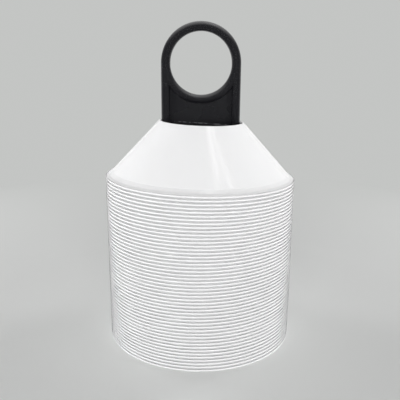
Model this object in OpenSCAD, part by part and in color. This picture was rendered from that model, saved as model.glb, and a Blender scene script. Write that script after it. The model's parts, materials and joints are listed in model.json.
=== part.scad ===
// Marker discs nested on a carrier with a ring handle.
// Origin: on the ground, on the axis of the stack. +Z is up and the ring faces -Y.

/* [Disc] */
// Number of discs in the set
disc_count = 50; // [6:1:50]
// Diameter over the lip
rim_d = 190; // [180:1:220]
// Diameter of the hole that passes over the carrier
hole_d = 80; // [79:0.5:84]
// Height of one disc, from the ground to the edge of its hole
disc_h = 56; // [46:0.5:66]
// Height of the straight part of the lip
lip_h = 1.8; // [1.4:0.1:2.6]
// Wall of the lip
lip_wall = 1.1; // [0.9:0.05:1.4]
// Radius of the shoulder between the lip and the flange
shoulder_r = 1.3; // [1.1:0.05:1.6]
// Width of the flange, from the lip to the foot of the cone
flange_w = 8; // [6:0.25:12]
// Height of the foot of the cone above the ground
cone_foot_h = 6.6; // [6:0.1:8]
// Wall of the cone and the flange
wall = 1.2; // [0.8:0.05:1.3]
// Radius of the bead round the hole
bead_r = 1.1; // [0.8:0.05:1.3]
// Space between the lip of a disc and the flange it stands on
seat_gap = 0.2; // [0.1:0.05:0.5]

/* [Carrier upright] */
// Width of the ring and of the upright under it
upright_w = 77.8; // [70:0.1:78]
// Diameter of the ring's tube and of the two rails
tube_d = 9.3; // [7:0.1:10]
// Height of the ring's centre above the top disc
ring_rise = 55.1; // [46:0.1:80]
// How much thinner the lower half of the ring is, each side
lower_arc_step = 0.15; // [0.1:0.05:0.4]
// Thickness of the web between the rails
web_t = 3.6; // [2.5:0.1:4.5]
// Width of the low ridge that runs inside each rail
ridge_w = 2; // [1.5:0.1:3]
// Height of that ridge over the web
ridge_h = 0.7; // [0.4:0.1:1]
// Groove between the ridge and the rail
groove_w = 1.9; // [1.4:0.1:3]

/* [Snap hooks] */
// Width of each of the two hooks under the web
hook_w = 4; // [3:0.5:6]
// Distance between the middles of the hooks
hook_spacing = 32; // [24:1:40]
// How far a hook reaches under the base plate
hook_reach = 1.2; // [0.8:0.1:1.6]
// Height of the hook's head
hook_head_h = 1.6; // [1.2:0.1:2]

/* [Base plate] */
// Thickness of the plate
plate_t = 2.5; // [2:0.1:3]
// Height of the plate's top above the ground
plate_top = 5.6; // [5.2:0.1:6.4]
// Wall of the skirt that stands on the ground
skirt_wall = 2; // [1.6:0.1:3]
// Space between the skirt and the foot of the lowest cone
skirt_clear = 1.2; // [0.8:0.1:3]
// Space between the base's rim and the lowest disc
rim_gap = 0.3; // [0.2:0.05:0.6]
// Height of the socket's collar above the plate
collar_h = 14; // [8:0.5:24]
// Wall of the socket's collar
collar_wall = 2; // [1.6:0.1:3]
// Space round the upright in its socket, and round the hooks in their slots
fit_gap = 0.2; // [0.1:0.05:0.4]
// Number of ribs under the plate
rib_count = 8; // [6:1:12]
// Thickness of the ribs and of the ring that they start from
rib_t = 1.6; // [1.2:0.1:2]
// Radius of that ring
rib_ring_r = 30; // [28:1:40]
// Height of the ribs above the ground
rib_clear = 0.8; // [0.5:0.1:1]

/* [Hidden] */
$fn = 96;
cut = 1;
arc_steps = 6;
rim_r = rim_d / 2;
hole_r = hole_d / 2;
foot_r = rim_r - flange_w;
lip_in_r = rim_r - lip_wall;
tube_r = tube_d / 2;
rail_x = upright_w / 2 - tube_r;

// Centres of the two round edges of a disc's section
shoulder_at = [rim_r - shoulder_r, lip_h];
bead_at = [hole_r + bead_r, disc_h - bead_r];
cone_foot = [foot_r, cone_foot_h];

// Slopes below the horizontal of the flange and the cone, which run off the cone's foot touching those edges
flange_slope = atan2(cone_foot_h - shoulder_at.y, shoulder_at.x - foot_r)
    - asin(shoulder_r / norm(shoulder_at - cone_foot));
cone_slope = atan2(bead_at.y - cone_foot_h, foot_r - bead_at.x)
    + asin(bead_r / norm(bead_at - cone_foot));

// Directions from the outer to the inner skin of the flange and the cone
flange_in = [-sin(flange_slope), -cos(flange_slope)];
cone_in = [-sin(cone_slope), -cos(cone_slope)];
cone_top = bead_at - bead_r * cone_in;
inner_foot = cone_foot + wall * (flange_in + cone_in) / (1 + flange_in * cone_in);

function flange_z(r) = cone_foot_h - (r - foot_r) * tan(flange_slope);
function cone_z(r) = cone_foot_h + (foot_r - r) * tan(cone_slope);
function cone_inner_z(r) = cone_z(r) - wall / cos(cone_slope);

// Each disc stands with its lip on the flange of the disc below
pitch = flange_z(lip_in_r) + seat_gap;
stack_h = (disc_count - 1) * pitch + disc_h;
ring_z = stack_h + ring_rise;

skirt_r = inner_foot.x - skirt_clear;
plate_under = plate_top - plate_t;
plate_middle = plate_top - plate_t / 2;

function disc_name(n) = str("marker_disc_", n < 10 ? "0" : "", n);

// Half section of one disc, with the ground at zero
module disc_section() {
    polygon(concat(
        [[rim_r, 0]],
        [for (i = [0 : arc_steps])
            let (turn = (90 - flange_slope) * i / arc_steps)
            shoulder_at + shoulder_r * [cos(turn), sin(turn)]],
        [
            cone_foot,
            cone_top,
            cone_top + wall * cone_in,
            inner_foot,
            [lip_in_r, flange_z(lip_in_r) - wall / cos(flange_slope)],
            [lip_in_r, 0]
        ]
    ));
    translate(bead_at)
        circle(bead_r);
}

module marker_disc(n) {
    color("white")
        translate([0, 0, (n - 1) * pitch])
            rotate_extrude()
                disc_section();
}

// Section of the upright where it stands in the socket, grown all round by a gap
module foot_section(gap = 0) {
    for (side = [-1, 1])
        translate([side * rail_x, 0])
            circle(tube_r + gap);
    square([2 * rail_x, web_t + 2 * (ridge_h + gap)], center = true);
}

module ring_half(r) {
    rotate([90, 0, 0])
        rotate_extrude(angle = 180)
            translate([rail_x, 0])
                circle(r);
}

// The web and its two ridges, cut round along the middle of the ring's lower half
module web() {
    ridge_x = rail_x - sqrt(pow(tube_r, 2) - pow(web_t / 2, 2)) - groove_w - ridge_w / 2;
    difference() {
        translate([0, 0, plate_top])
            linear_extrude(ring_z - plate_top) {
                square([2 * rail_x, web_t], center = true);
                for (side = [-1, 1])
                    translate([side * ridge_x, 0])
                        square([ridge_w, web_t + 2 * ridge_h], center = true);
            }
        translate([0, 0, ring_z])
            rotate([90, 0, 0])
                cylinder(r = rail_x, h = web_t + 2 * (ridge_h + cut), center = true);
    }
}

// A prong through the plate, with a sloped head on its outer side that catches under it
module snap_hook() {
    outer = hook_spacing / 2 + hook_w / 2;
    inner = outer - hook_w;
    head_top = plate_under - fit_gap;
    head_low = head_top - hook_head_h;
    rotate([90, 0, 0])
        linear_extrude(web_t, center = true)
            polygon([
                [inner, plate_top + cut],
                [outer, plate_top + cut],
                [outer, head_top],
                [outer + hook_reach, head_top],
                [outer, head_low],
                [inner, head_low]
            ]);
}

module carrier_upright() {
    color([0.07, 0.07, 0.08]) {
        for (side = [-1, 1])
            translate([side * rail_x, 0, plate_top])
                cylinder(r = tube_r, h = ring_z - plate_top);
        translate([0, 0, ring_z]) {
            ring_half(tube_r);
            rotate([0, 180, 0])
                ring_half(tube_r - lower_arc_step);
        }
        web();
        snap_hook();
        mirror([1, 0, 0])
            snap_hook();
    }
}

// Half section of the plate with its skirt, whose rim follows the inside of the lowest cone
module base_section() {
    rim_drop = rim_gap / cos(cone_slope);
    rim_in_r = skirt_r - skirt_wall;
    polygon([
        [0, plate_under],
        [rim_in_r, plate_under],
        [rim_in_r, 0],
        [skirt_r, 0],
        [skirt_r, cone_inner_z(skirt_r) - rim_drop],
        [rim_in_r, cone_inner_z(rim_in_r) - rim_drop],
        [rim_in_r, plate_top],
        [0, plate_top]
    ]);
}

// Plan of the ribs and the ring that they start from
module rib_plan() {
    difference() {
        circle(rib_ring_r + rib_t / 2);
        circle(rib_ring_r - rib_t / 2);
    }
    for (i = [1 : rib_count])
        rotate(360 * (i - 0.5) / rib_count)
            translate([rib_ring_r, -rib_t / 2])
                square([skirt_r - skirt_wall / 2 - rib_ring_r, rib_t]);
}

// Slot for a prong, with room on its inner side for the prong to spring in
module hook_slot() {
    slot_w = hook_w + hook_reach + 2 * fit_gap;
    translate([
        hook_spacing / 2 + hook_w / 2 + fit_gap - slot_w,
        -web_t / 2 - fit_gap,
        plate_under - cut
    ])
        cube([slot_w, web_t + 2 * fit_gap, plate_t + 2 * cut]);
}

module base_plate() {
    color([0.07, 0.07, 0.08])
        difference() {
            union() {
                rotate_extrude()
                    base_section();
                translate([0, 0, plate_middle])
                    linear_extrude(plate_t / 2 + collar_h)
                        foot_section(fit_gap + collar_wall);
                translate([0, 0, rib_clear])
                    linear_extrude(plate_middle - rib_clear)
                        rib_plan();
            }
            translate([0, 0, plate_top])
                linear_extrude(collar_h + cut)
                    foot_section(fit_gap);
            hook_slot();
            mirror([1, 0, 0])
                hook_slot();
        }
}

carrier_upright();
base_plate();
for (n = [1 : disc_count])
    marker_disc(n);
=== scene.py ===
import json
import math

import bmesh
import bpy
from mathutils import Matrix, Vector


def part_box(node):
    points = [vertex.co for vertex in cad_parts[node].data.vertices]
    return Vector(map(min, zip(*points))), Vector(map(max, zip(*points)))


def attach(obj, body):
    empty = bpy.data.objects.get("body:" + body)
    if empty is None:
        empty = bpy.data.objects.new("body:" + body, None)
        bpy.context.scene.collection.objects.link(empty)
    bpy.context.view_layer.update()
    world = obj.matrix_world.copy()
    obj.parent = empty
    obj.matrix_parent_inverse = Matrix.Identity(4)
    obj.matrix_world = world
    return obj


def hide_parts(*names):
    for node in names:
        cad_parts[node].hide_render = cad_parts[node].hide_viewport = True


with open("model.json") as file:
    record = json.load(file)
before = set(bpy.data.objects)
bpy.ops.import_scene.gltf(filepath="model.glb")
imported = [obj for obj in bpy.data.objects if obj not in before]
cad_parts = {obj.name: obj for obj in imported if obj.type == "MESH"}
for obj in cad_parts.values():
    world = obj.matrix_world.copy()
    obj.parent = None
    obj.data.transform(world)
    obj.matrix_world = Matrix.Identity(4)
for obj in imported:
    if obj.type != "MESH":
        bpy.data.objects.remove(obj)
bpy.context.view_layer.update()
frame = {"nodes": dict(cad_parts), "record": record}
discNodes = sorted(name for name in frame["nodes"] if name.startswith("marker_disc_"))
bodyOfNode = {node: body
              for body, nodes in frame["record"]["behaviour"]["bodies"].items()
              for node in nodes}
print("frame loaded:", len(frame["nodes"]), "nodes,", len(discNodes), "discs")


# Node helpers, shared by the materials and the geometry trees

def addNode(tree, kind, inputs=None, **settings):
    node = tree.nodes.new(kind)
    for name, value in settings.items():
        setattr(node, name, value)
    for key, value in (inputs or {}).items():
        socket = node.inputs[key]
        if isinstance(value, bpy.types.NodeSocket):
            tree.links.new(value, socket)
        else:
            socket.default_value = value
    return node


def newMaterial(name):
    material = bpy.data.materials.new(name)
    material.use_nodes = True
    material.node_tree.nodes.clear()
    return material, material.node_tree


def finishMaterial(tree, shader):
    output = addNode(tree, "ShaderNodeOutputMaterial")
    tree.links.new(shader.outputs["BSDF"], output.inputs["Surface"])


noiseSpan = (0.3, 0.7)   # most of a noise's values lie between these


def noise(tree, place, scale, detail=3.0, roughness=0.5):
    node = addNode(tree, "ShaderNodeTexNoise", {"Scale": scale, "Detail": detail, "Roughness": roughness})
    tree.links.new(place, node.inputs["Vector"])
    return node.outputs["Fac"]


def spread(tree, value, fromMin, fromMax, toMin, toMax):
    node = addNode(tree, "ShaderNodeMapRange", {
        "Value": value, "From Min": fromMin, "From Max": fromMax, "To Min": toMin, "To Max": toMax})
    return node.outputs["Result"]


def maths(tree, operation, first, second=0.0, third=0.0):
    return addNode(tree, "ShaderNodeMath", {0: first, 1: second, 2: third}, operation=operation).outputs[0]


def mixColours(tree, share, first, second):
    mixed = addNode(tree, "ShaderNodeMix", {"Factor": share, 6: first, 7: second}, data_type="RGBA")
    return mixed.outputs[2]


def newTree(name, inputs, output):
    # A geometry tree with its named inputs, and each input's identifier
    tree = bpy.data.node_groups.new(name, "GeometryNodeTree")
    sockets = {}
    for label, kind, value in inputs:
        socket = tree.interface.new_socket(label, in_out="INPUT", socket_type="NodeSocket" + kind)
        if value is not None:
            socket.default_value = value
        sockets[label] = socket.identifier
    tree.interface.new_socket(output, in_out="OUTPUT", socket_type="NodeSocketGeometry")
    return tree, sockets, addNode(tree, "NodeGroupInput").outputs


def finishTree(tree, geometry, material):
    # Every tree ends in plain geometry with its material
    real = addNode(tree, "GeometryNodeRealizeInstances", {"Geometry": geometry})
    finish = addNode(tree, "GeometryNodeSetMaterial", {"Geometry": real.outputs[0], "Material": material})
    output = addNode(tree, "NodeGroupOutput")
    tree.links.new(finish.outputs[0], output.inputs[0])


# Mesh helpers

def addObject(name, data):
    made = bpy.data.objects.new(name, data)
    bpy.context.scene.collection.objects.link(made)
    return made


def meshFrom(shape, name):
    mesh = bpy.data.meshes.new(name)
    shape.to_mesh(mesh)
    shape.free()
    return mesh


# White plastic of the discs: semi-gloss, a little see-through to light, faint flow marks from moulding

whitePlastic = {
    "bright": (0.91, 0.91, 0.915, 1),
    "dull": (0.89, 0.89, 0.895, 1),
    "cloudScale": 22,            # per metre
    "roughness": (0.13, 0.18),
    "shine": 0.3,
    "flowScale": (45, 45, 12),   # stretched along the height
    "flowDepth": 0.000008,       # metres
    "grainScale": 1900,
    "grainDepth": 0.000001,
    "scatterWeight": 0.12,
    "scatterRadius": (0.003, 0.003, 0.0028),
}


def makeWhitePlastic(settings):
    material, tree = newMaterial("whitePlastic")
    place = addNode(tree, "ShaderNodeTexCoord").outputs["Object"]
    clouds = noise(tree, place, settings["cloudScale"])
    colour = mixColours(tree, clouds, settings["dull"], settings["bright"])
    stretch = addNode(tree, "ShaderNodeMapping", {"Vector": place, "Scale": settings["flowScale"]})
    flow = noise(tree, stretch.outputs["Vector"], 1.0, detail=2.0)
    grain = noise(tree, place, settings["grainScale"], detail=2.0)
    broad = addNode(tree, "ShaderNodeBump", {"Distance": settings["flowDepth"], "Height": flow})
    fine = addNode(tree, "ShaderNodeBump", {
        "Distance": settings["grainDepth"], "Height": grain, "Normal": broad.outputs["Normal"]})
    shader = addNode(tree, "ShaderNodeBsdfPrincipled", {
        "Base Color": colour,
        "Roughness": spread(tree, flow, *noiseSpan, *settings["roughness"]),
        "Specular IOR Level": settings["shine"],
        "Normal": fine.outputs["Normal"],
        "Subsurface Weight": settings["scatterWeight"],
        "Subsurface Radius": settings["scatterRadius"],
        "Subsurface Scale": 1.0,
    })
    finishMaterial(tree, shader)
    return material


# Black plastic of the carrier: satin, with fine grain, a few pale scuffs from discs that slide over it,
# and a pale broken line across the web that runs a little slanted

blackPlastic = {
    "deep": (0.006, 0.006, 0.008, 1),
    "faded": (0.011, 0.011, 0.013, 1),
    "paleMark": (0.16, 0.16, 0.17, 1),
    "cloudScale": 35,
    "roughness": (0.24, 0.30),
    "shine": 0.5,
    "grainScale": 1500,
    "grainDepth": 0.000003,
    "scuffScale": (260, 260, 14),   # drawn out along the height
    "scuffSpan": (0.72, 0.84),      # noise from which a scuff starts, and is full
    "scuffMost": 0.5,
    # Where the pale broken line lies across the web, how far it reaches and how wide it is
    "paleLineHeight": 0.2181,
    "paleLineSlope": 0.062,
    "paleLineReach": 0.026,
    "paleLineWidth": (0.00018, 0.0006),  # full within the first, gone past the second
    "dashScale": 260,
    "dashSpan": (0.42, 0.52),
    "dashLevels": (0.1, 0.9),
}


def makeBlackPlastic(settings):
    material, tree = newMaterial("blackPlastic")
    place = addNode(tree, "ShaderNodeTexCoord").outputs["Object"]
    clouds = noise(tree, place, settings["cloudScale"])
    grain = noise(tree, place, settings["grainScale"], detail=2.0)
    stretch = addNode(tree, "ShaderNodeMapping", {"Vector": place, "Scale": settings["scuffScale"]})
    streaks = noise(tree, stretch.outputs["Vector"], 1.0, detail=4.0, roughness=0.6)
    scuffed = spread(tree, streaks, *settings["scuffSpan"], 0.0, settings["scuffMost"])
    at = addNode(tree, "ShaderNodeSeparateXYZ", {0: place}).outputs
    # A pale broken line across the web, sloping a little, in the same pale colour as the scuffs
    height = maths(tree, "ADD", at["Z"], maths(tree, "MULTIPLY", at["X"], settings["paleLineSlope"]))
    away = maths(tree, "ABSOLUTE", maths(tree, "SUBTRACT", height, settings["paleLineHeight"]))
    line = spread(tree, away, *settings["paleLineWidth"], 1.0, 0.0)
    reach = maths(tree, "LESS_THAN", maths(tree, "ABSOLUTE", at["X"]), settings["paleLineReach"])
    broken = noise(tree, place, settings["dashScale"], detail=2.0)
    dashes = spread(tree, broken, *settings["dashSpan"], *settings["dashLevels"])
    paleLine = maths(tree, "MULTIPLY", maths(tree, "MULTIPLY", line, reach), dashes)
    plain = mixColours(tree, clouds, settings["deep"], settings["faded"])
    marked = mixColours(tree, maths(tree, "MAXIMUM", scuffed, paleLine), plain, settings["paleMark"])
    fine = addNode(tree, "ShaderNodeBump", {"Distance": settings["grainDepth"], "Height": grain})
    shader = addNode(tree, "ShaderNodeBsdfPrincipled", {
        "Base Color": marked,
        "Roughness": spread(tree, clouds, *noiseSpan, *settings["roughness"]),
        "Specular IOR Level": settings["shine"],
        "Normal": fine.outputs["Normal"],
    })
    finishMaterial(tree, shader)
    return material


discMaterial = makeWhitePlastic(whitePlastic)
carrierMaterial = makeBlackPlastic(blackPlastic)
for node in ("carrier_upright", "base_plate"):
    slots = frame["nodes"][node].data.materials
    slots.clear()
    slots.append(carrierMaterial)
print("materials made")


# One disc: a thin cone with a bead round its hole, a flange at its foot and an upright lip

disc = {
    "lipHeight": 0.0018,
    "lipWall": 0.0011,
    "shoulderRadius": 0.0013,
    "flangeWidth": 0.008,
    "footHeight": 0.0066,
    "wall": 0.0012,
    "holeRadius": 0.040,
    "beadRadius": 0.0011,
    "edgeRadius": 0.00025,     # small rounding of the lip's lower edges
    "footFillet": 0.0016,      # where the cone rises from the flange
    "holdDistance": 0.0001,    # from a straight's end to the point that keeps its shading flat
    "weldDistance": 0.000002,
    "stepsAround": 128,
    "cornerSteps": 3,
    "filletSteps": 4,
    "shoulderSteps": 7,
    "beadSteps": 11,
}


def roundCorner(before, corner, after, radius, steps):
    # Points of the arc that rounds a corner, from the side of before to the side of after
    first = (Vector(before) - Vector(corner)).normalized()
    second = (Vector(after) - Vector(corner)).normalized()
    half = first.angle(second) / 2
    reach = radius / math.tan(half)
    centre = Vector(corner) + (first + second).normalized() * (radius / math.sin(half))
    start = Vector(corner) + first * reach - centre
    turn = first.orthogonal().dot(second) < 0
    sweep = (math.pi - 2 * half) * (-1 if turn else 1)
    points = []
    for i in range(steps + 1):
        angle = sweep * i / steps
        points.append(centre + Matrix.Rotation(angle, 2) @ start)
    return points


def discSection(sizes, rimRadius, height):
    # Closed outline in the plane of radius and height, starting under the lip's outer edge
    footRadius = rimRadius - sizes["flangeWidth"]
    lipInside = rimRadius - sizes["lipWall"]
    shoulder = Vector((rimRadius - sizes["shoulderRadius"], sizes["lipHeight"]))
    foot = Vector((footRadius, sizes["footHeight"]))
    bead = Vector((sizes["holeRadius"] + sizes["beadRadius"], height - sizes["beadRadius"]))
    flangeSlope = (math.atan2(foot.y - shoulder.y, shoulder.x - foot.x)
                   - math.asin(sizes["shoulderRadius"] / (shoulder - foot).length))
    coneSlope = (math.atan2(bead.y - foot.y, foot.x - bead.x)
                 + math.asin(sizes["beadRadius"] / (bead - foot).length))
    flangeIn = Vector((-math.sin(flangeSlope), -math.cos(flangeSlope)))
    coneIn = Vector((-math.sin(coneSlope), -math.cos(coneSlope)))
    innerFoot = foot + sizes["wall"] * (flangeIn + coneIn) / (1 + flangeIn.dot(coneIn))

    def flangeHeight(radius):
        return sizes["footHeight"] - (radius - footRadius) * math.tan(flangeSlope)

    rimTop = Vector((rimRadius, flangeHeight(rimRadius)))
    outerLow = Vector((rimRadius, 0))
    innerLow = Vector((lipInside, 0))
    innerTop = Vector((lipInside, flangeHeight(lipInside) - sizes["wall"] / math.cos(flangeSlope)))
    coneTop = bead - sizes["beadRadius"] * coneIn
    small, steps = sizes["edgeRadius"], sizes["cornerSteps"]
    points = roundCorner(innerLow, outerLow, rimTop, small, steps)
    points += roundCorner(outerLow, rimTop, foot, sizes["shoulderRadius"], sizes["shoulderSteps"])
    points += roundCorner(rimTop, foot, coneTop, sizes["footFillet"], sizes["filletSteps"])
    first = math.atan2(-coneIn.y, -coneIn.x)
    offset = sizes["wall"] - sizes["beadRadius"]
    downhill = Vector((math.cos(coneSlope), -math.sin(coneSlope)))
    last = offset * coneIn + math.sqrt(sizes["beadRadius"] ** 2 - offset ** 2) * downhill
    sweep = math.atan2(last.y, last.x) % math.tau - first
    for i in range(sizes["beadSteps"] + 1):
        angle = first + sweep * i / sizes["beadSteps"]
        points.append(bead + sizes["beadRadius"] * Vector((math.cos(angle), math.sin(angle))))
    points += roundCorner(coneTop + sizes["wall"] * coneIn, innerFoot, innerTop, small * 2, steps)
    points += roundCorner(innerFoot, innerTop, innerLow, small * 2, steps)
    points += roundCorner(innerTop, innerLow, outerLow, small, steps)
    return holdStraights(points, sizes["holdDistance"])


def holdStraights(points, distance):
    # A point near each end of every long straight, so that smooth shading stays flat between them
    held = []
    for i, start in enumerate(points):
        end = points[(i + 1) % len(points)]
        along = end - start
        held.append(start)
        if along.length > 4 * distance:
            step = along.normalized() * distance
            held += [start + step, end - step]
    return held


def sectionMesh(points):
    mesh = bpy.data.meshes.new("discSection")
    edges = [(i, (i + 1) % len(points)) for i in range(len(points))]
    mesh.from_pydata([(p.x, 0, p.y) for p in points], edges, [])
    return mesh


# The tree turns a section about the vertical axis, then leans and shifts the disc as it lies in the stack

def makeDiscTree():
    tree, sockets, given = newTree("nestedDisc", [
        ("Section", "Geometry", None),
        ("Steps Around", "Int", 120),
        ("Lift", "Float", 0.0),
        ("Lean", "Float", 0.0),
        ("Hole Lean", "Float", 0.0),
        ("Hole Nod", "Float", 0.0),
        ("Shift X", "Float", 0.0),
        ("Shift Y", "Float", 0.0),
        ("Foot Height", "Float", 0.0),
        ("Height", "Float", 0.05),
        ("Warp", "Float", 0.0),
        ("Warp Turn", "Float", 0.0),
        ("Warp Waves", "Float", 3.0),
        ("Weld Distance", "Float", 0.000002),
        ("Material", "Material", None),
    ], "Disc")

    def calc(*terms):
        return maths(tree, *terms)

    size = addNode(tree, "GeometryNodeAttributeDomainSize", {"Geometry": given["Section"]},
                   component="MESH")
    count = size.outputs["Point Count"]
    columns = calc("ADD", given["Steps Around"], 1.0)
    rows = calc("ADD", count, 1.0)
    grid = addNode(tree, "GeometryNodeMeshGrid", {
        "Size X": 1.0, "Size Y": 1.0, "Vertices X": columns, "Vertices Y": rows})
    index = addNode(tree, "GeometryNodeInputIndex").outputs["Index"]
    column = calc("FLOOR", calc("DIVIDE", calc("ADD", index, 0.5), rows))
    row = calc("SUBTRACT", index, calc("MULTIPLY", column, rows))
    onSection = calc("MODULO", row, count)
    position = addNode(tree, "GeometryNodeInputPosition").outputs["Position"]
    sample = addNode(tree, "GeometryNodeSampleIndex", {"Geometry": given["Section"]},
                     data_type="FLOAT_VECTOR", domain="POINT")
    tree.links.new(position, sample.inputs["Value"])
    tree.links.new(onSection, sample.inputs["Index"])
    found = addNode(tree, "ShaderNodeSeparateXYZ", {0: sample.outputs["Value"]}).outputs
    angle = calc("MULTIPLY", calc("DIVIDE", column, given["Steps Around"]), math.tau)
    x = calc("MULTIPLY", found["X"], calc("COSINE", angle))
    y = calc("MULTIPLY", found["X"], calc("SINE", angle))

    # The cone's top gives sideways a little, and the whole rim is never quite flat
    share = spread(tree, found["Z"], given["Foot Height"], given["Height"], 0.0, 1.0)
    tip = calc("SUBTRACT", calc("MULTIPLY", x, given["Hole Lean"]), calc("MULTIPLY", y, given["Hole Nod"]))
    sag = calc("MULTIPLY", tip, share)
    wave = calc("COSINE", calc("MULTIPLY_ADD", angle, given["Warp Waves"], given["Warp Turn"]))
    z = calc("ADD", calc("SUBTRACT", found["Z"], sag), calc("MULTIPLY", wave, given["Warp"]))
    bent = addNode(tree, "ShaderNodeCombineXYZ", {0: x, 1: y, 2: z}).outputs[0]
    axis = addNode(tree, "ShaderNodeCombineXYZ", {1: 1.0}).outputs[0]
    leant = addNode(tree, "ShaderNodeVectorRotate", {
        "Vector": bent, "Axis": axis, "Angle": given["Lean"]}, rotation_type="AXIS_ANGLE").outputs[0]
    shift = addNode(tree, "ShaderNodeCombineXYZ", {
        0: given["Shift X"], 1: given["Shift Y"], 2: given["Lift"]}).outputs[0]
    placed = addNode(tree, "ShaderNodeVectorMath", {0: leant, 1: shift}, operation="ADD").outputs[0]
    moved = addNode(tree, "GeometryNodeSetPosition", {"Geometry": grid.outputs["Mesh"], "Position": placed})
    closed = addNode(tree, "GeometryNodeMergeByDistance", {
        "Geometry": moved.outputs[0], "Distance": given["Weld Distance"]})
    smooth = addNode(tree, "GeometryNodeSetShadeSmooth", {"Geometry": closed.outputs[0]})
    finishTree(tree, smooth.outputs[0], given["Material"])
    return tree, sockets


def runTree(name, mesh, tree, sockets, values):
    # A plain mesh object from a tree, with the modifier gone
    maker = addObject(name + "Maker", mesh)
    modifier = maker.modifiers.new("tree", "NODES")
    modifier.node_group = tree
    for key, value in values.items():
        modifier[sockets[key]] = value
    graph = bpy.context.evaluated_depsgraph_get()
    made = bpy.data.meshes.new_from_object(maker.evaluated_get(graph))
    made.name = name
    bpy.data.objects.remove(maker)
    return addObject(name, made)


def outward(piece):
    shape = bmesh.new()
    shape.from_mesh(piece.data)
    bmesh.ops.recalc_face_normals(shape, faces=shape.faces)
    shape.to_mesh(piece.data)
    shape.free()


# How the discs lie: flat on the ground, leaning one way low in the stack and the other way at its top

stack = {
    "leanPoints": [(1, 0.0), (12, -0.98), (22, -1.0), (33, -0.3), (47, 0.95), (50, 1.05)],  # degrees
    "shiftPoints": [(1, 0.0), (10, 0.15), (25, 0.1), (40, -0.15), (50, -0.2)],              # mm
    "holeLean": 0.5,               # degrees more at the top disc's hole
    "holeLeanDiscs": 12,
    "holeNod": 1.0,                # degrees by which the front of that hole is lower
    "wobble": 0.10,                # mm, sideways
    "wobbleTurns": (0.55, 0.41),   # radians from disc to disc, in X and Y
    "wobbleStarts": (0.0, 1.0),
    "warp": 0.015,                 # mm, up and down
    "warpTurn": 0.7,
    "warpWaves": 3.0,
    "quietDiscs": 6,               # the lowest discs lie truer
    "trim": 0.00035,               # metres off the rim's radius, which keeps shifted discs in the solids' box
}


def follow(points, at):
    # Value at a place along straight lines through (place, value) points
    for (x0, v0), (x1, v1) in zip(points, points[1:]):
        if at <= x1:
            share = max(0.0, (at - x0) / (x1 - x0))
            return v0 + (v1 - v0) * share
    return points[-1][1]


def makeDiscs(sizes, habits):
    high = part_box(discNodes[0])[1]
    rimRadius, height = high.x - habits["trim"], high.z
    section = sectionMesh(discSection(sizes, rimRadius, height))
    tree, sockets = makeDiscTree()
    pieces = []
    count = len(discNodes)
    for number, node in enumerate(discNodes, 1):
        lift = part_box(node)[0].z
        lean = math.radians(follow(habits["leanPoints"], number))
        shift = follow(habits["shiftPoints"], number) / 1000
        settled = min(1, number / habits["quietDiscs"])
        sideways, away = (habits["wobble"] / 1000 * math.sin(number * turn + start) * settled
                          for turn, start in zip(habits["wobbleTurns"], habits["wobbleStarts"]))
        near = max(0.0, 1 - (count - number) / habits["holeLeanDiscs"])
        piece = runTree("disc_shell_" + node[-2:], section, tree, sockets, {
            "Steps Around": sizes["stepsAround"],
            "Lift": lift,
            "Lean": lean,
            "Hole Lean": math.radians(habits["holeLean"]) * near,
            "Hole Nod": math.radians(habits["holeNod"]) * near,
            "Shift X": shift + sideways,
            "Shift Y": away,
            "Foot Height": sizes["footHeight"],
            "Height": height,
            "Warp": habits["warp"] / 1000 * settled,
            "Warp Turn": number * habits["warpTurn"],
            "Warp Waves": habits["warpWaves"],
            "Weld Distance": sizes["weldDistance"],
            "Material": discMaterial,
        })
        outward(piece)
        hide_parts(node)
        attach(piece, bodyOfNode[node])
        pieces.append(piece)
    return pieces


discPieces = makeDiscs(disc, stack)
print("discs made:", len(discPieces), "of", len(discPieces[0].data.polygons), "faces")


# The carrier's upright: two rails that run up into a ring, a thin web with two low ridges, two snap hooks

upright = {
    "tubeRadius": 0.00465,
    "lowerArcRadius": 0.0045,
    "webThickness": 0.0036,
    "ridgeWidth": 0.002,
    "ridgeHeight": 0.0007,
    "grooveWidth": 0.0019,
    "edgeRounding": 0.0003,
    "innerRounding": 0.00025,
    "railFillet": 0.0006,
    "bite": 0.00003,            # how far a fillet's end runs into its rail
    "partingHeight": 0.00006,   # fine line where the two halves of the mould meet
    "partingWidth": 0.0006,
    "flatSteps": 20,
    "innerSteps": 3,
    "edgeSteps": 4,
    "filletSteps": 5,
    "tubeSteps": 48,
    "ringSteps": 72,
    "sharpDegrees": 38,
    "footHeight": 0.0056,
    "hookWidth": 0.004,
    "hookSpacing": 0.032,
    "hookReach": 0.0012,
    "hookHead": 0.0016,
    "hookRoot": 0.001,          # how far a hook runs up into the web
}


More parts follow.
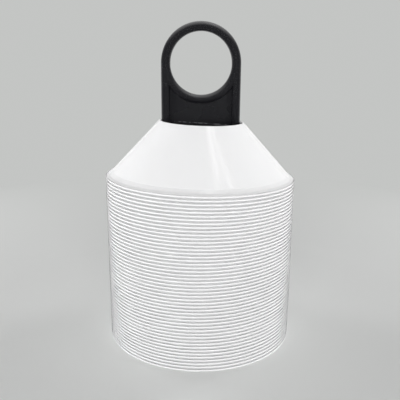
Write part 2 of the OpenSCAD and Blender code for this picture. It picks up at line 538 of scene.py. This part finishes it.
def makeTubeTree():
    # A round tube along the object's own line, drawn flat and then stood up, with a fine parting line
    tree, sockets, given = newTree("mouldedTube", [
        ("Line", "Geometry", None),
        ("Radius", "Float", 0.004),
        ("Steps", "Int", 48),
        ("Parting Height", "Float", 0.0),
        ("Parting Width", "Float", 0.001),
        ("Material", "Material", None),
    ], "Tube")

    def calc(*terms):
        return maths(tree, *terms)

    line = addNode(tree, "GeometryNodeMeshToCurve", {"Mesh": given["Line"]})
    level = addNode(tree, "GeometryNodeSetCurveNormal", {"Curve": line.outputs[0]}, mode="Z_UP")
    ring = addNode(tree, "GeometryNodeCurvePrimitiveCircle", {
        "Resolution": given["Steps"], "Radius": given["Radius"]}, mode="RADIUS")
    place = addNode(tree, "GeometryNodeInputPosition").outputs["Position"]
    parts = addNode(tree, "ShaderNodeSeparateXYZ", {0: place}).outputs
    halfWidth = calc("MULTIPLY", given["Parting Width"], 0.5)
    ridge = spread(tree, calc("ABSOLUTE", parts["Y"]), 0.0, halfWidth, given["Parting Height"], 0.0)
    inset = calc("SUBTRACT", given["Radius"], given["Parting Height"])
    grown = addNode(tree, "ShaderNodeVectorMath", {0: place}, operation="NORMALIZE").outputs[0]
    shaped = addNode(tree, "ShaderNodeVectorMath", {0: grown}, operation="SCALE")
    tree.links.new(calc("ADD", inset, ridge), shaped.inputs["Scale"])
    profile = addNode(tree, "GeometryNodeSetPosition", {
        "Geometry": ring.outputs["Curve"], "Position": shaped.outputs[0]})
    swept = addNode(tree, "GeometryNodeCurveToMesh", {
        "Curve": level.outputs[0], "Profile Curve": profile.outputs[0], "Fill Caps": True})
    stood = addNode(tree, "GeometryNodeTransform", {
        "Geometry": swept.outputs[0], "Rotation": (math.pi / 2, 0, 0)})
    finishTree(tree, stood.outputs[0], given["Material"])
    return tree, sockets


def lineMesh(name, points):
    mesh = bpy.data.meshes.new(name)
    mesh.from_pydata([(x, y, 0) for x, y in points], [(i, i + 1) for i in range(len(points) - 1)], [])
    return mesh


def arcPoints(radius, height, firstAngle, lastAngle, steps):
    return [(radius * math.cos(firstAngle + (lastAngle - firstAngle) * i / steps),
             height + radius * math.sin(firstAngle + (lastAngle - firstAngle) * i / steps))
            for i in range(steps + 1)]


def makePrism(name, outline, low, high):
    # A closed outline in X and Y, raised along Z
    shape = bmesh.new()
    bottom = [shape.verts.new((x, y, low)) for x, y in outline]
    top = [shape.verts.new((x, y, high)) for x, y in outline]
    shape.faces.new(bottom)
    shape.faces.new(top)
    for i in range(len(outline)):
        j = (i + 1) % len(outline)
        shape.faces.new((bottom[i], bottom[j], top[j], top[i]))
    bmesh.ops.recalc_face_normals(shape, faces=shape.faces)
    return addObject(name, meshFrom(shape, name))


def webColumns(sizes, railX):
    # The web's front face seen from above, from its middle out into the rail, then mirrored to the left
    half = sizes["webThickness"] / 2
    top = half + sizes["ridgeHeight"]
    webEnd = railX - math.sqrt(sizes["tubeRadius"] ** 2 - half ** 2)
    ridgeOut = webEnd - sizes["grooveWidth"]
    ridgeIn = ridgeOut - sizes["ridgeWidth"]
    flat = ridgeIn - sizes["innerRounding"]
    quarter = [Vector((flat * i / sizes["flatSteps"], half)) for i in range(1, sizes["flatSteps"])]
    inner = (sizes["innerRounding"], sizes["innerSteps"])
    edge = (sizes["edgeRounding"], sizes["edgeSteps"])
    quarter += roundCorner((0, half), (ridgeIn, half), (ridgeIn, top), *inner)
    quarter += roundCorner((ridgeIn, half), (ridgeIn, top), (ridgeOut, top), *edge)
    quarter += roundCorner((ridgeIn, top), (ridgeOut, top), (ridgeOut, half), *edge)
    quarter += roundCorner((ridgeOut, top), (ridgeOut, half), (webEnd, half), *inner)
    fillet = sizes["railFillet"]
    apart = sizes["tubeRadius"] + fillet - sizes["bite"]
    centre = Vector((railX - math.sqrt(apart ** 2 - (half + fillet) ** 2), half + fillet))
    toRail = (Vector((railX, 0)) - centre).normalized()
    last = math.atan2(toRail.y, toRail.x)
    for i in range(sizes["filletSteps"] + 1):
        angle = -math.pi / 2 + (last + math.pi / 2) * i / sizes["filletSteps"]
        quarter.append(centre + fillet * Vector((math.cos(angle), math.sin(angle))))
    quarter.append(Vector((railX, quarter[-1].y)))
    right = [(p.x, p.y) for p in quarter]
    return [(-x, y) for x, y in reversed(right)] + [(0, half)] + right


def makeWeb(sizes, railX, ringHeight):
    # Each column runs from the foot up to the middle of the ring's lower half
    shape = bmesh.new()
    rows = []
    for x, y in webColumns(sizes, railX):
        top = ringHeight - math.sqrt(max(0.0, railX ** 2 - x ** 2))
        corners = [(x, -y, sizes["footHeight"]), (x, -y, top), (x, y, top), (x, y, sizes["footHeight"])]
        rows.append([shape.verts.new(corner) for corner in corners])
    for this, following in zip(rows, rows[1:]):
        for i in range(4):
            j = (i + 1) % 4
            shape.faces.new((this[i], this[j], following[j], following[i]))
    shape.faces.new(rows[0])
    shape.faces.new(rows[-1])
    bmesh.ops.recalc_face_normals(shape, faces=shape.faces)
    return addObject("web", meshFrom(shape, "web"))


def combine(piece, other):
    modifier = piece.modifiers.new("combine", "BOOLEAN")
    modifier.operation = "UNION"
    modifier.object = other
    modifier.solver = "MANIFOLD"
    graph = bpy.context.evaluated_depsgraph_get()
    made = bpy.data.meshes.new_from_object(piece.evaluated_get(graph))
    piece.modifiers.clear()
    piece.data = made
    bpy.data.objects.remove(other)


def makeUpright(sizes):
    low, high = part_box("carrier_upright")
    railX = high.x - sizes["tubeRadius"]
    ringHeight = high.z - high.x
    tree, sockets = makeTubeTree()

    def tube(name, points, radius, partingHeight):
        return runTree(name, lineMesh(name, points), tree, sockets, {
            "Radius": radius,
            "Steps": sizes["tubeSteps"],
            "Parting Height": partingHeight,
            "Parting Width": sizes["partingWidth"],
            "Material": carrierMaterial,
        })

    over = arcPoints(railX, ringHeight, math.pi, 0, sizes["ringSteps"])
    under = arcPoints(railX, ringHeight, math.pi, math.tau, sizes["ringSteps"])
    piece = tube("upright_shell", [(-railX, sizes["footHeight"])] + over + [(railX, sizes["footHeight"])],
                 sizes["tubeRadius"], sizes["partingHeight"])
    combine(piece, makeWeb(sizes, railX, ringHeight))
    combine(piece, tube("lowerArc", under, sizes["lowerArcRadius"], 0.0))
    for side in (-1, 1):
        inner = side * (sizes["hookSpacing"] / 2 - sizes["hookWidth"] / 2)
        outer = inner + side * sizes["hookWidth"]
        root = sizes["footHeight"] + sizes["hookRoot"]
        headLow = low.z
        headTop = headLow + sizes["hookHead"]
        outline = [(inner, root), (outer, root), (outer, headTop),
                   (outer + side * sizes["hookReach"], headTop), (outer, headLow), (inner, headLow)]
        hook = makePrism("hook", outline, -sizes["webThickness"] / 2, sizes["webThickness"] / 2)
        hook.data.transform(Matrix.Rotation(math.pi / 2, 4, "X"))
        combine(piece, hook)
    piece.data.materials.clear()
    piece.data.materials.append(carrierMaterial)
    piece.data.shade_smooth()
    piece.data.set_sharp_from_angle(angle=math.radians(sizes["sharpDegrees"]))
    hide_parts("carrier_upright")
    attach(piece, "carrier")
    return piece


uprightPiece = makeUpright(upright)
print("upright made:", len(uprightPiece.data.polygons), "faces")


# Floor and light: a pale floor that fades into the backdrop, soft lamps all round

studio = {
    "floorColour": (0.80, 0.81, 0.80, 1),
    "backdropColour": (0.55, 0.56, 0.55, 1),
    "floorRadius": 80.0,
    "floorSegments": 96,
    "fadeFrom": 0.3,
    "fadeTo": 0.8,
    "skyStrength": 0.23,
    "mirroredFront": 0.2,       # brightness in reflections of what stands in front, behind and overhead
    "mirroredBack": 0.95,
    "mirroredOver": 2.4,
    "floorTurns": (0.02, 0.35), # metres behind the middle, from the level in front to the one behind
    "skyTurns": (0.0, 0.7),     # the same in the sky, as the share of Y in the direction
    "skyOver": (0.45, 0.97),    # the share of Z where it goes on to the level overhead
    "lamps": [  # name, place, size, watts, seen in reflections
        ("leftSoft", (-1.3, -0.06, 0.13), (0.9, 0.24), 6.9, False),
        ("rightSoft", (1.3, -0.06, 0.13), (0.9, 0.24), 6.1, False),
        ("leftBack", (-1.2, 0.75, 0.32), (0.6, 0.5), 10.5, False),
        ("rightBack", (1.2, 0.75, 0.32), (0.6, 0.5), 10.0, False),
        ("frontSoft", (0.0, -1.8, 0.36), (1.4, 0.62), 23.0, False),
        ("windowLeft", (0.22, -0.20, 1.2), (0.06, 0.32), 0.45, True),
        ("windowRight", (0.42, -0.20, 1.2), (0.05, 0.32), 0.28, True),
    ],
    "lookAt": (0, 0, 0.15),
}


def makeFloor(settings):
    material, tree = newMaterial("paleFloor")
    place = addNode(tree, "ShaderNodeTexCoord").outputs["Object"]
    distance = addNode(tree, "ShaderNodeVectorMath", {0: place}, operation="LENGTH").outputs["Value"]
    fade = spread(tree, distance, settings["fadeFrom"], settings["fadeTo"], 0.0, 1.0)
    seen = addNode(tree, "ShaderNodeLightPath").outputs
    shown = maths(tree, "MULTIPLY", fade, seen["Is Camera Ray"])
    matt = addNode(tree, "ShaderNodeBsdfDiffuse", {"Color": settings["floorColour"]})
    far = addNode(tree, "ShaderNodeEmission", {"Color": settings["backdropColour"], "Strength": 1.0})
    mixed = addNode(tree, "ShaderNodeMixShader", {0: shown, 1: matt.outputs[0], 2: far.outputs[0]})
    depth = addNode(tree, "ShaderNodeSeparateXYZ", {0: place}).outputs["Y"]
    levels = (settings["mirroredFront"], settings["mirroredBack"])
    cards = addNode(tree, "ShaderNodeEmission", {
        "Color": (1, 1, 1, 1), "Strength": spread(tree, depth, *settings["floorTurns"], *levels)})
    whole = addNode(tree, "ShaderNodeMixShader", {
        0: seen["Is Glossy Ray"], 1: mixed.outputs[0], 2: cards.outputs[0]})
    output = addNode(tree, "ShaderNodeOutputMaterial")
    tree.links.new(whole.outputs[0], output.inputs["Surface"])
    shape = bmesh.new()
    bmesh.ops.create_circle(shape, cap_ends=True, segments=settings["floorSegments"],
                            radius=settings["floorRadius"])
    mesh = meshFrom(shape, "floor")
    mesh.materials.append(material)
    addObject("floor", mesh)


def makeWorld(settings):
    world = bpy.data.worlds.new("studio")
    bpy.context.scene.world = world
    world.use_nodes = True
    tree = world.node_tree
    tree.nodes.clear()
    seen = addNode(tree, "ShaderNodeLightPath").outputs
    towards = addNode(tree, "ShaderNodeTexCoord").outputs["Generated"]
    way = addNode(tree, "ShaderNodeSeparateXYZ", {0: towards}).outputs
    levels = (settings["mirroredFront"], settings["mirroredBack"])
    level = spread(tree, way["Y"], *settings["skyTurns"], *levels)
    mirrored = spread(tree, way["Z"], *settings["skyOver"], level, settings["mirroredOver"])
    light = addNode(tree, "ShaderNodeBackground", {
        "Color": (1, 1, 1, 1), "Strength": settings["skyStrength"]})
    gloss = addNode(tree, "ShaderNodeBackground", {"Color": (1, 1, 1, 1), "Strength": mirrored})
    shown = addNode(tree, "ShaderNodeBackground", {"Color": settings["backdropColour"], "Strength": 1.0})
    lit = addNode(tree, "ShaderNodeMixShader", {
        0: seen["Is Glossy Ray"], 1: light.outputs[0], 2: gloss.outputs[0]})
    mixed = addNode(tree, "ShaderNodeMixShader", {
        0: seen["Is Camera Ray"], 1: lit.outputs[0], 2: shown.outputs[0]})
    output = addNode(tree, "ShaderNodeOutputWorld")
    tree.links.new(mixed.outputs[0], output.inputs["Surface"])


def makeLamps(settings):
    for name, place, size, watts, mirrored in settings["lamps"]:
        lamp = bpy.data.lights.new(name, "AREA")
        lamp.shape = "RECTANGLE"
        lamp.size, lamp.size_y = size
        lamp.energy = watts
        holder = addObject(name, lamp)
        holder.location = place
        holder.visible_glossy = mirrored
        aim = Vector(settings["lookAt"]) - Vector(place)
        holder.rotation_euler = aim.to_track_quat("-Z", "Y").to_euler()


makeFloor(studio)
makeWorld(studio)
makeLamps(studio)
print("floor and lamps made")


# Camera at the photograph's place

view = {
    "side": -0.0001,
    "rollDegrees": 0.4,
    "distance": 0.520,
    "height": 0.272,
    "downDegrees": 14.35,
    "focalPixels": 520.5,
    "imagePixels": 400.0,
    "sensorWidth": 36.0,
    "clip": (0.01, 200),
}


def makeCamera(settings):
    camera = bpy.data.cameras.new("camera")
    camera.sensor_width = settings["sensorWidth"]
    camera.lens = settings["focalPixels"] / settings["imagePixels"] * settings["sensorWidth"]
    camera.clip_start, camera.clip_end = settings["clip"]
    holder = addObject("camera", camera)
    holder.location = (settings["side"], -settings["distance"], settings["height"])
    tilt = Matrix.Rotation(math.radians(90 - settings["downDegrees"]), 3, "X")
    roll = Matrix.Rotation(math.radians(settings["rollDegrees"]), 3, "Z")
    holder.rotation_euler = (tilt @ roll).to_euler()
    bpy.context.scene.camera = holder


makeCamera(view)
bpy.context.scene.view_settings.view_transform = "Standard"
